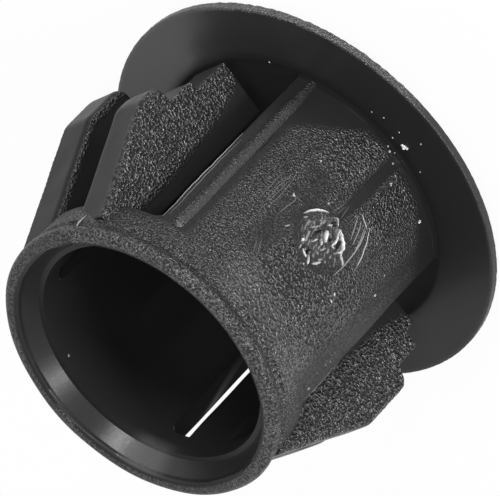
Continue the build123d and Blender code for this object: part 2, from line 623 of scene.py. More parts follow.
@dataclass(frozen=True)
class ShellFinish:
    """Where the shell is grained, where it shows wear, and where highlight and shade are painted on it.

    A pair named after a place says where a soft step starts and ends there. The ones for skin,
    head_start and root count from the tube's radius, rim from the head's radius, mouth_foot from
    the overall height and foot_rise from the line of foot_heights. A pair for painted light holds
    the least that is painted and the most that is added. The arcs and the zone beside the lip go by
    angle in degrees, the other zones by side.
    """

    sizes: PlugSizes = PLUG
    front: Pair = (0.0, 1.0)
    back: Pair = (-1.0, 2.5)
    skin_start: Pair = (-0.75, -0.6)
    skin_end: Pair = (0.15, 0.25)
    mouth_edge: float = 0.12
    plain_foot: float = 0.4
    foot_rise: Pair = (-0.2, 0.45)
    foot_sides: Row = (-4.0, -3.0, -2.05, -0.2, 1.4, 2.55, 3.8)
    foot_heights: Row = (1.9, 1.6, 1.2, 1.0, 1.05, 2.2, 3.2)
    panel_end: Pair = (9.9, 10.3)
    trough_loss: float = 0.9
    bare_zone: Zone = Zone(Band(0.95, 2.0, 0.2), Band(3.8, 8.7, 0.4))
    bare_loss: float = 0.4
    left_edge: Pair = (3.4, 3.7)
    left_loss: float = 0.85
    right_edge: Pair = (-3.7, -3.0)
    right_loss: float = 0.62
    by_scar: Patch = Patch((PLUG.scar_side, 5.9), (1.75, 1.5))
    scar_loss: float = 0.6
    slot_margin: float = 0.5
    right_coarse: Zone = Zone(Band(-2.05, -0.5, 0.12), Band(1.2, 3.8, 0.2))
    left_coarse: Zone = Zone(Band(0.4, 2.1, 0.15), Band(1.1, 3.7, 0.3))
    left_share: float = 0.8
    nose_coarse: Band = Band(-3.8, 1.0, 0.4)
    nose_rise: Pair = (5.0, 6.0)
    lip_start: float = 0.4
    lip_coarse: float = 0.65
    lip_back_coarse: float = 0.4
    lip_back_loss: float = 0.35
    fine_share: float = 0.78
    rim: Pair = (-0.13, -0.06)
    whole_rim: float = 0.2
    torn_white: float = 0.04
    # Painted highlight: a light smudge low on the mouth's wall.
    painted_glint_arc: Band = Band(-142.0, -126.0, 5.0)
    painted_glint_white: float = 0.05
    # Gloss on the head, with painted light that grows towards +Y.
    head_start: Pair = (0.2, 0.6)
    head_painted_light_side: Pair = (1.0, 7.0)
    head_painted_light: Pair = (0.12, 0.42)
    mouth_wall: float = 0.1
    mouth_foot: Pair = (-1.1, -0.9)
    # Painted highlight on the mouth's wall, stronger in an arc low down.
    mouth_highlight_arc: Band = Band(-150.0, -112.0, 12.0)
    mouth_painted_highlight: Pair = (0.08, 0.3)
    # Painted highlight on the skin beside the lip, at the front.
    lip_highlight_zone: Zone = Zone(Band(-34.0, 14.0, 8.0), Band(9.3, 11.0, 0.5))
    lip_skin: Pair = (-0.2, -0.1)
    lip_painted_highlight: float = 0.35
    # Painted shade on the slots' side walls and in the crease at the tube's root.
    wall_half: float = 0.1
    wall_soft: float = 0.05
    wall_inside: float = 0.05
    wall_outside: float = 0.02
    root: Band = Band(-0.01, 0.22, 0.01)
    root_top: float = 0.25

    def grain(self, at: Spots, trough: np.ndarray, coarse: np.ndarray) -> np.ndarray:
        """Return how strong the grain is.

        Args:
            at: The shell's points.
            trough: Strength of the flow line on each of them.
            coarse: Coarseness on each of them.

        Returns:
            Strength from 0 to 1.
        """
        s = self.sizes
        at_front = smooth(at.x, *self.front)

        # The whole outside, down to a smooth foot that rises to both sides of the front panel
        outside = smooth(at.off_skin, *self.skin_start) * fade(at.off_skin, *self.skin_end)
        in_mouth = (at.radius < s.mouth_radius + self.mouth_edge) & (at.height > s.lip_bottom)
        plain_foot = s.head_height + self.plain_foot
        foot = plain_foot + (np.interp(at.side, self.foot_sides, self.foot_heights) - plain_foot) * at_front
        grain = np.where(in_mouth, 0.0, outside) * smooth(at.height - foot, *self.foot_rise)

        # Smooth places on the front panel and along its edges
        below_ring = fade(at.height, *self.panel_end)
        lost = self.trough_loss * trough
        lost += self.bare_loss * self.bare_zone.on(at.side, at.height)
        lost += self.left_loss * smooth(at.side, *self.left_edge) * below_ring
        lost += self.right_loss * fade(at.side, *self.right_edge) * below_ring
        lost += self.scar_loss * self.by_scar.on(at.side, at.height)
        grain = grain * (1.0 - np.clip(lost, 0.0, 1.0) * at_front)
        on_wall = np.abs(at.from_slot - (90.0 - s.slot_angle)) < self.slot_margin
        grain = np.where(on_wall & (at.height < s.ring_bottom), 0.0, grain)

        on_lip = smooth(at.height, s.lip_bottom, s.lip_bottom + self.lip_start)
        grain = grain * (1.0 - self.lip_back_loss * on_lip * fade(at.x, *self.back))
        return grain * (self.fine_share + (1.0 - self.fine_share) * coarse)

    def coarse(self, at: Spots) -> np.ndarray:
        """Return how coarse the grain is: beside the flow line, towards the nose, on the lip."""
        s = self.sizes
        coarse = self.right_coarse.on(at.side, at.height)
        coarse += self.left_share * self.left_coarse.on(at.side, at.height)
        coarse += self.nose_coarse.on(at.side) * smooth(at.height, *self.nose_rise)
        coarse = np.clip(coarse, 0.0, 1.0) * smooth(at.x, *self.front)
        on_lip = smooth(at.height, s.lip_bottom, s.lip_bottom + self.lip_start)
        lip = on_lip * (self.lip_coarse - self.lip_back_coarse * fade(at.x, *self.back))
        return np.maximum(coarse * (1.0 - on_lip), lip)

    def painted_shine(self, at: Spots, in_mouth: np.ndarray) -> np.ndarray:
        """Return the gloss with painted light on the head, lighter towards +Y, and the painted highlight on
        the mouth's wall and on the skin beside the lip.
        """
        plain, more = self.head_painted_light
        on_head = smooth(at.off_skin, *self.head_start)
        painted_shine = on_head * (plain + more * smooth(at.y, *self.head_painted_light_side))
        plain, more = self.mouth_painted_highlight
        painted_shine += in_mouth * (plain + more * self.mouth_highlight_arc.on(at.angle))
        lip_highlight = self.lip_highlight_zone.on(at.angle, at.height) * smooth(at.off_skin, *self.lip_skin)
        return painted_shine + self.lip_painted_highlight * lip_highlight

    def matt_and_shade(self, at: Spots) -> np.ndarray:
        """Return where shade is painted, dark and rough: on the slots' side walls and at the tube's root."""
        s = self.sizes
        place = 90.0 - s.slot_angle
        # Painted shade on the slots' side walls, below the ring.
        wall = Band(place - self.wall_half, place + self.wall_half, self.wall_soft).on(at.from_slot)
        wall = wall * (at.height < s.ring_bottom)
        wall = wall * (at.radius > s.bore_radius - self.wall_inside) * (at.off_skin < self.wall_outside)
        # Painted shade in the crease at the tube's root.
        root = self.root.on(at.off_skin) * (at.height < s.head_height + self.root_top)
        return np.clip(wall + root, 0.0, 1.0)

    def numbers(self, at: Spots, trough: np.ndarray) -> dict[str, np.ndarray]:
        """Return the five numbers of the finish for the shell's points.

        Args:
            at: The points.
            trough: Strength of the flow line on each of them.

        Returns:
            Name of each number to its values.
        """
        s = self.sizes
        rim = smooth(at.radius - s.head_radius, *self.rim)
        torn = rim * (self.whole_rim + (1.0 - self.whole_rim) * TORN_ARC.on(at.angle))
        in_mouth = fade(at.radius, s.mouth_radius, s.mouth_radius + self.mouth_wall)
        in_mouth = in_mouth * smooth(at.height - s.overall_height, *self.mouth_foot)
        # Painted highlight: a light smudge low on the mouth's wall, stored with the wear.
        painted_glint = in_mouth * self.painted_glint_arc.on(at.angle)
        coarse = self.coarse(at)
        return {
            "grain": np.clip(self.grain(at, trough, coarse) + torn, 0.0, 1.0),
            "coarse": coarse,
            "wear_and_painted_highlight": torn * self.torn_white + painted_glint * self.painted_glint_white,
            "gloss_and_painted_highlight": self.painted_shine(at, in_mouth),
            "matt_and_shade": self.matt_and_shade(at),
        }


@dataclass
class MouldedShell:
    """Head, tube, nose ring and mouth, turned in one closed skin and slotted."""

    sizes: PlugSizes = PLUG
    columns: int = 480
    face_rows: float = 1.0
    bevel_rows: float = 0.2
    rim_rows: float = 0.06
    head_rows: float = 0.15
    tube_rows: float = 0.11
    lip_rows: float = 0.08
    mouth_rows: float = 0.1
    bore_rows: float = 0.5
    rim_round: float = 0.05
    rim_chips: float = 0.05
    chip_pitch: float = 0.17
    whole_rim: float = 0.35
    lip_wobble: float = 0.02
    nick_angle: float = -0.8
    nick_half: float = 1.0
    nick_depth: float = 0.05
    crease_angle: float = 79.0
    crease_half: float = 3.2
    crease_depth: float = 0.06
    sway: float = 0.01
    dent: Patch = Patch((1.6, 5.2), (0.8, 2.4))
    dent_depth: float = 0.03
    drag: Patch = Patch((3.72, 4.6), (0.12, 1.0))
    drag_rise: float = 0.05
    scar: Patch = Patch((PLUG.scar_side, PLUG.scar_height), (1.22, 1.22))
    scar_floor: float = 0.5
    scar_wall: float = 0.82
    trough_depth: float = 0.05
    trough_top: float = 5.0
    trough_heights: Row = (0.8, 1.6, 3.0, 4.2, 5.2)
    trough_halves: Row = (0.2, 0.25, 0.28, 0.22, 0.1)
    hard_edge: float = 32.0
    piece: bpy.types.Object | None = None

    def profile(self) -> list:
        """Return the half section from the head's centre round to the bore floor's centre."""
        s = self.sizes
        rim = self.rim_round
        face_edge = (s.head_radius - s.bevel_width, 0.0)
        bevel_top = (s.head_radius, s.head_height - s.edge_height)
        rim_start = (s.head_radius, s.head_height - rim)
        root = (s.tube_radius + s.root_radius, s.head_height + s.root_radius)
        crest = (s.lip_radius - s.lip_round, s.overall_height - s.lip_round)
        lip = arc(crest, s.lip_round, -s.lip_tuck, 90.0, 10)
        mouth = (s.mouth_radius + s.mouth_round, s.overall_height - s.mouth_round)
        seat = (s.seat_radius, s.overall_height - s.seat_depth)
        bore_top = (s.bore_radius, seat[1])
        bore_foot = (s.bore_radius, s.head_height)
        points = [(0.0, 0.0)]
        points += run((1.0, 0.0), face_edge, self.face_rows)
        points += run(face_edge, bevel_top, self.bevel_rows)
        points += run(bevel_top, rim_start, self.rim_rows)
        points += arc((rim_start[0] - rim, rim_start[1]), rim, 0.0, 90.0, 4)[:-1]
        points += run((s.head_radius - rim, s.head_height), (root[0], s.head_height), self.head_rows)
        points += arc(root, s.root_radius, 270.0, 180.0, 8)[:-1]
        points += run((s.tube_radius, root[1]), (s.tube_radius, s.lip_bottom), self.tube_rows)
        points += self._waist(lip[0], 8)
        points += lip[:-1]
        points += run(lip[-1], (mouth[0], s.overall_height), self.lip_rows)
        points += arc(mouth, s.mouth_round, 90.0, 180.0, 4)[:-1]
        points += run((s.mouth_radius, mouth[1]), seat, self.mouth_rows)
        points += run(seat, bore_top, self.mouth_rows)
        points += run(bore_top, bore_foot, self.bore_rows)
        points += run(bore_foot, (0.0, s.head_height), self.face_rows)
        points.append((0.0, s.head_height))
        return points

    def _waist(self, lip_foot: Pair, steps: int) -> list:
        """Return the waist's points, from the tube up to, but without, the lip's foot."""
        s = self.sizes
        widening = lip_foot[0] - s.tube_radius
        sag = s.waist_depth + widening / 2
        points = []
        for share in (i / steps for i in range(steps)):
            radius = s.tube_radius + widening * share - sag * 4 * share * (1 - share)
            points.append((radius, s.lip_bottom + (lip_foot[1] - s.lip_bottom) * share))
        return points

    def trough(self, side: np.ndarray, height: np.ndarray) -> np.ndarray:
        """Return the strength of the flow line that runs from the head up to the scar."""
        centre = -0.05 - 0.02 * (self.trough_top - height)
        half = np.interp(height, self.trough_heights, self.trough_halves)
        across = fade(np.abs(side - centre) / half, 0.7, 1.15)
        return across * Band(1.0, self.trough_top, 0.25).on(height)

    def skin_offset(self, side: np.ndarray, height: np.ndarray) -> np.ndarray:
        """Return how far the tube's outside lies off its true radius.

        Args:
            side: Place round the unrolled tube from the scar's panel middle, in millimetres.
            height: Height over the floor.

        Returns:
            Radial offset in millimetres, negative inwards.
        """
        waves = 1.2 * np.sin(side * 2.1 + 0.7 * height) + np.sin(height * 1.7 - side)
        drag = self.drag.on(side, height) * self.drag_rise
        dent = self.dent.on(side, height) * self.dent_depth
        trough = self.trough(side, height) * self.trough_depth
        bowl = fade(self.scar.away(side, height), self.scar_wall, 1.0) * self.scar_floor
        return drag + self.sway * waves - trough - dent - bowl

    def worked(self, radius: float, height: float, turns: np.ndarray) -> tuple[np.ndarray, np.ndarray]:
        """Return the radii and heights of one ring of points, with the marks pressed in.

        Args:
            radius: The profile's radius.
            height: The profile's height.
            turns: Angles of the points, in degrees from -180 to 180.

        Returns:
            One radius and one height per point.
        """
        s = self.sizes
        radii = np.full(turns.size, radius)
        heights = np.full(turns.size, height)
        circle = np.radians(turns)
        if abs(radius - s.tube_radius) < 0.001:
            radii = radii + self.skin_offset(circle * s.tube_radius, heights)
        elif radius > s.head_radius - 0.1:
            ring = np.stack([radius * np.cos(circle), radius * np.sin(circle), heights * 2.0], axis=1)
            torn = self.whole_rim + (1.0 - self.whole_rim) * TORN_ARC.on(turns)
            radii = radii - self.rim_chips * torn * (0.5 + field(ring, self.chip_pitch, 3.1))
        elif radius > s.mouth_radius and height > s.lip_bottom:
            wave = 0.4 * np.sin(np.radians(turns * 7.0 + 40.0)) + 0.6 * np.sin(np.radians(turns * 11.0))
            nick = self.nick_depth * mark(turns, self.nick_angle, self.nick_half)
            crease = self.crease_depth * mark(turns, self.crease_angle, self.crease_half)
            radii = radii - self.lip_wobble * (0.5 + 0.5 * wave) - nick
            heights = heights - self.lip_wobble * 0.4 * (1.0 + wave) - nick - crease
        return radii, heights

    def build_skin(self) -> None:
        """Turn the profile into a closed mesh, with the marks pressed in."""
        profile = self.profile()
        inner = profile[1:-1]
        turns = np.linspace(-180.0, 180.0, self.columns, endpoint=False)
        turn = np.radians(turns)
        points = [(0.0, 0.0, profile[0][1])]
        for radius, height in inner:
            radii, heights = self.worked(radius, height, turns)
            points += list(zip(radii * np.cos(turn), radii * np.sin(turn), heights))
        points.append((0.0, 0.0, profile[-1][1]))
        last = len(points) - 1
        top = last - self.columns
        faces = []
        for i in range(self.columns):
            j = (i + 1) % self.columns
            faces.append((0, 1 + j, 1 + i))
            faces.append((last, top + i, top + j))
            for base in range(1, top, self.columns):
                above = base + self.columns
                faces.append((base + i, base + j, above + j, above + i))
        self.piece = new_piece("plug_shell", points, faces)

    def slot_cutter(self, side: int) -> bpy.types.Object:
        """Make the block that one slot takes away, on side +1 or -1 of Y."""
        s = self.sizes
        turn = math.radians(s.slot_angle)
        inner, outer = s.bore_radius / 2, s.head_radius
        plan = [(r * math.cos(turn), r * math.sin(turn)) for r in (inner, outer)]
        plan += [(0.0, outer)]
        plan += [(-x, y) for x, y in (plan[1], plan[0])]
        work = bmesh.new()
        low = [work.verts.new((x * MM, side * y * MM, s.head_height * MM)) for x, y in plan]
        high = [work.verts.new((x * MM, side * y * MM, s.ring_bottom * MM)) for x, y in plan]
        count = len(plan)
        work.faces.new(low)
        work.faces.new(high)
        for i in range(count):
            j = (i + 1) % count
            work.faces.new((low[i], low[j], high[j], high[i]))
        bmesh.ops.recalc_face_normals(work, faces=work.faces)
        tops = [work.edges.get((high[0], high[1])), work.edges.get((high[3], high[4]))]
        round_off(work, tops, s.slot_corner_radius, 8)
        return from_work("slot_cutter", work)

    def cut_slots(self) -> None:
        """Cut both side slots, which leave the front and back panels."""
        for side in (1, -1):
            cut_away(self.piece, self.slot_cutter(side))

    def dress(self, material: bpy.types.Material) -> None:
        """Give the shell its grain, wear, painted highlight and painted shade, and mount it."""
        at = Spots(self.piece)
        finish = ShellFinish().numbers(at, self.trough(at.side, at.height))
        mount(self.piece, material, self.hard_edge, finish)


class Catch(Enum):
    """The two kinds of leg, each with the reach and height over the head of its tip and its step."""

    THIN_PANEL = ((5.85, 1.5), (6.5, 2.05))
    THICK_PANEL = ((6.3, 1.33), (6.68, 3.12))


@dataclass(frozen=True)
class LegForm:
    """One spring leg: where it stands, on side +1 or -1 of Y, and how far and high it catches."""

    start: float
    side: int
    catch: Catch
    reach: float
    shoulder: float


LEFT_LEGS = (
    LegForm(PLUG.front_start, 1, Catch.THICK_PANEL, reach=7.5, shoulder=4.36),
    LegForm(PLUG.back_start, 1, Catch.THIN_PANEL, reach=7.62, shoulder=3.04),
)
RIGHT_LEGS = (
    LegForm(PLUG.front_start, -1, Catch.THIN_PANEL, reach=7.28, shoulder=3.29),
    LegForm(PLUG.back_start, -1, Catch.THICK_PANEL, reach=7.5, shoulder=4.36),
)


@dataclass
class SpringLegs:
    """A pair of spring legs that hang from the ring on one side."""

    name: str
    legs: tuple[LegForm, LegForm]
    sizes: PlugSizes = PLUG
    root: float = 3.5
    edge_round: float = 0.24
    catch_slope: float = 0.43
    slope_start: float = 0.04
    shoulder_round: float = 0.5
    catch_round: float = 0.9
    voxel: float = 0.052
    soft_steps: int = 7
    pebble: float = 0.022
    pebble_pitch: float = 0.8 * Grain.COARSE.value
    sway: float = 0.02
    sway_pitch: float = 1.1
    strip_heights: Row = (1.8, 2.6, 4.2, 5.7, 7.2, 9.4)
    strip_reaches: Row = (5.5, 5.1, 4.8, 4.7, 4.5, 4.55)
    strip_fade: Pair = (-0.05, 0.4)
    faced: Pair = (0.06, 0.34)
    gap_face: Pair = (0.02, 0.12)
    band_fade: Pair = (0.15, 0.5)
    band_strength: float = 0.7
    hard_edge: float = 60.0

    def outline(self, leg: LegForm) -> list:
        """Return the corner points of a leg's outline in the YZ plane."""
        s = self.sizes
        low = s.head_height
        (tip_reach, tip_height), (step_reach, step_height) = leg.catch.value
        slope_top = s.tube_radius + self.slope_start
        catch = s.ring_bottom - (leg.reach - slope_top) / self.catch_slope
        crown = slope_top - self.catch_slope * (s.lip_bottom - s.ring_bottom)
        tilt = math.degrees(math.atan(self.catch_slope))
        turn_in = self.catch_round * math.tan(math.radians(tilt / 2))
        r = self.shoulder_round
        points = [
            (self.root, s.ring_bottom + self.edge_round),
            (self.root, low + tip_height),
            (tip_reach, low + tip_height),
            (tip_reach, low + step_height),
            (step_reach, low + step_height),
            (step_reach, low + leg.shoulder),
        ]
        points += arc((leg.reach - r, low + leg.shoulder + r), r, 270.0, 360.0, 7)
        points += arc((leg.reach - self.catch_round, catch - turn_in), self.catch_round, 0.0, tilt, 6)
        points.append((crown, s.lip_bottom))
        return points

    def bore(self) -> bpy.types.Object:
        """Make the rod that clears the bore from a leg."""
        s = self.sizes
        round_points = arc((0.0, 0.0), s.bore_radius, 0.0, 360.0, 240)[:-1]
        points = [(x, y, z) for z in (0.0, s.overall_height) for x, y in round_points]
        count = len(round_points)
        faces = [tuple(range(count - 1, -1, -1)), tuple(range(count, 2 * count))]
        faces += [(i, (i + 1) % count, count + (i + 1) % count, count + i) for i in range(count)]
        return new_piece("bore_rod", points, faces)

    def outer_edges(self, work: bmesh.types.BMesh, leg: LegForm) -> list:
        """Return the edges along a leg's catch and slope, on both its faces."""
        step_reach = leg.catch.value[1][0]
        shoulder_height = self.sizes.head_height + leg.shoulder
        edges = []
        for edge in work.edges:
            middle = (edge.verts[0].co + edge.verts[1].co) / 2 / MM
            along = abs(edge.verts[0].co.x - edge.verts[1].co.x) < 0.1 * MM
            on_catch = abs(middle.y) > step_reach + 0.02
            on_slope = middle.z > shoulder_height + 0.05 and abs(middle.y) > self.sizes.tube_radius + 0.1
            if along and (on_catch or on_slope):
                edges.append(edge)
        return edges

    def build_leg(self, leg: LegForm) -> bpy.types.Object:
        """Make one leg as a closed block with its outer edges rounded."""
        work = bmesh.new()
        corners = [(leg.start * MM, leg.side * y * MM, z * MM) for y, z in self.outline(leg)]
        face = work.faces.new([work.verts.new(corner) for corner in corners])
        made = bmesh.ops.extrude_face_region(work, geom=[face])
        moved = [v for v in made["geom"] if isinstance(v, bmesh.types.BMVert)]
        bmesh.ops.translate(work, verts=moved, vec=(self.sizes.leg_width * MM, 0.0, 0.0))
        bmesh.ops.recalc_face_normals(work, faces=work.faces)
        round_off(work, self.outer_edges(work, leg), self.edge_round, 4)
        block = from_work(self.name, work)
        cut_away(block, self.bore())
        remesh = block.modifiers.new("skin", "REMESH")
        remesh.mode = "VOXEL"
        remesh.voxel_size = self.voxel * MM
        soften = block.modifiers.new("soften", "SMOOTH")
        soften.factor = 0.5
        soften.iterations = self.soft_steps
        settle(block)
        return block

    def grain_of(self, p: np.ndarray, leg: LegForm) -> np.ndarray:
        """Return how strong the grain stands on one leg's points.

        The face turned away from the gap is grained, but for a smooth strip along the panel. The
        face at the gap is smooth, but for a bumpy band along its outer edge.
        """
        s = self.sizes
        near, far = leg.start, leg.start + s.leg_width
        if leg.start < 0:
            near, far = far, near
        out = np.abs(p[:, 1])
        strip = np.interp(p[:, 2], self.strip_heights, self.strip_reaches)
        faced = fade(np.abs(p[:, 0] - far), *self.faced) * smooth(out - strip, *self.strip_fade)
        slope_line = s.tube_radius + self.slope_start + self.catch_slope * (s.ring_bottom - p[:, 2])
        inset = np.minimum(slope_line, leg.reach) - out
        band = fade(np.abs(p[:, 0] - near), *self.gap_face) * fade(inset, *self.band_fade)
        return np.clip(faced + self.band_strength * band, 0.0, 1.0)

    def build(self, material: bpy.types.Material) -> None:
        """Make both legs, press the grain in and mount them as one piece."""
        work = bmesh.new()
        blocks = [self.build_leg(leg) for leg in self.legs]
        for block, leg in zip(blocks, self.legs):
            p = places(block)
            grain = self.grain_of(p, leg)
            normal = np.empty(p.size)
            block.data.vertices.foreach_get("normal", normal)
            lift = self.pebble * grain * field(p, self.pebble_pitch, 5.0)
            lift += self.sway * field(p, self.sway_pitch, 9.0)
            move(block, p + normal.reshape(-1, 3) * lift[:, None])
            carry(block, "grain", grain)
            work.from_mesh(block.data)
        piece, spare = blocks
        work.to_mesh(piece.data)
        work.free()
        bpy.data.objects.remove(spare)
        mount(piece, material, self.hard_edge, {"coarse": 1.0})


@dataclass
class SlotBeads:
    """Raised beads along the panel edges, repeated round the axis by a node tree."""

    sizes: PlugSizes = PLUG
    angle: float = 40.3
    radius: float = 0.30
    rise: float = 0.13
    overrun: float = 0.12
    foot_lift: float = 0.02
    rows: int = 90
    columns: int = 40
    faint_sink: float = 0.11
    low_sink: float = 0.09
    low_end: float = 2.2
    sway: float = 0.02
    sway_pitch: float = 0.9
    crest_arc: Pair = (1.6, 1.4)
    least_grain: float = 0.25
    crest_grain: float = 0.55
    coarse: float = 0.15
    # Painted highlight on the beads' flanks, weaker on the faint bead than on the clear ones.
    faint_painted_highlight: float = 0.1
    clear_painted_highlight: float = 0.4
    hard_edge: float = 50.0

    def tree(self, material: bpy.types.Material) -> bpy.types.NodeTree:
        """Make the tree that draws one bead and repeats it at the four panel edges."""
        labels = ("Radius", "Place", "Foot", "Top", "Angle")
        board, given = open_tree("bead_repeat", {label: "Float" for label in labels})
        radius, place, foot, top = (given.outputs[label] for label in labels[:4])
        low = board.add("ShaderNodeCombineXYZ", None, {0: place, 2: foot})
        high = board.add("ShaderNodeCombineXYZ", None, {0: place, 2: top})
        ends = {"Start": low.outputs[0], "End": high.outputs[0]}
        spine = board.add("GeometryNodeCurvePrimitiveLine", None, ends)
        spaced = {"Curve": spine.outputs[0], "Count": self.rows}
        steps = board.add("GeometryNodeResampleCurve", None, spaced)
        section = {"Resolution": self.columns, "Radius": radius}
        ring = board.add("GeometryNodeCurvePrimitiveCircle", None, section)
        rod = board.add("GeometryNodeCurveToMesh", None, {
            "Curve": steps.outputs[0],
            "Profile Curve": ring.outputs[0],
            "Fill Caps": True,
        })
        globe = {"Segments": self.columns, "Rings": self.columns // 2, "Radius": radius}
        ball = board.add("GeometryNodeMeshUVSphere", None, globe)
        moved = {"Geometry": ball.outputs[0], "Translation": high.outputs[0]}
        nose = board.add("GeometryNodeTransform", None, moved)
        bead = board.add("GeometryNodeJoinGeometry")
        board.tree.links.new(rod.outputs[0], bead.inputs[0])
        board.tree.links.new(nose.outputs[0], bead.inputs[0])
        number = board.wire(board.add("GeometryNodeInputIndex"))
        half = board.math("FLOOR", number / 2.0)
        odd = number - half * 2.0
        turn = half * math.pi + (1.0 - odd * 2.0) * board.wire(given, "Angle")
        spin = board.add("ShaderNodeCombineXYZ", None, {2: turn})
        stands = board.add("GeometryNodeMeshLine", None, {"Count": 4, "Offset": (0.0, 0.0, 0.0)})
        spread = board.add("GeometryNodeInstanceOnPoints", None, {
            "Points": stands.outputs[0],
            "Instance": bead.outputs[0],
            "Rotation": spin.outputs[0],
        })
        return close_tree(board, spread, material)

    def build(self, material: bpy.types.Material) -> None:
        """Make the four beads, grain their crests, paint a highlight on their flanks and mount them."""
        s = self.sizes
        piece = new_piece("slot_beads", [], [])
        run_tree(piece, self.tree(material), {
            "Radius": self.radius * MM,
            "Place": (s.tube_radius + self.rise - self.radius) * MM,
            "Foot": (s.head_height + self.foot_lift) * MM,
            "Top": (s.ring_bottom + self.overrun - self.radius) * MM,
            "Angle": math.radians(self.angle),
        })
        turn_outwards(piece)
        at = Spots(piece)
        low = fade(at.height, s.head_height, s.head_height + self.low_end)
        is_faint = (at.angle < 0) & (at.angle > -90)
        faint = np.where(is_faint, self.faint_sink, 0.0)
        sway = self.sway * field(at.places, self.sway_pitch, 2.0)
        share = (at.radius - faint - self.low_sink * low + sway) / at.radius
        move(piece, at.places * np.stack([share, share, np.ones(share.size)], axis=1))
        to_slot = 90.0 - self.angle
        crest = fade(at.from_slot, to_slot - self.crest_arc[0], to_slot + self.crest_arc[1])
        # Painted highlight on the flanks, stronger on the clear beads than on the faint one.
        clear = np.where(is_faint, self.faint_painted_highlight, self.clear_painted_highlight)
        mount(piece, material, self.hard_edge, {
            "grain": self.least_grain + self.crest_grain * crest,
            "coarse": self.coarse,
            "gloss_and_painted_highlight": clear * (1.0 - crest) * (1.0 - low),
        })


@dataclass(frozen=True)
class Fold:
    """One torn fold in the scar, drawn on the unrolled tube.

    The line holds places as side and height. A fold with a negative rise is a cleft.
    """

    line: tuple[Pair, ...]
    half_width: float
    rise: float
    white: float


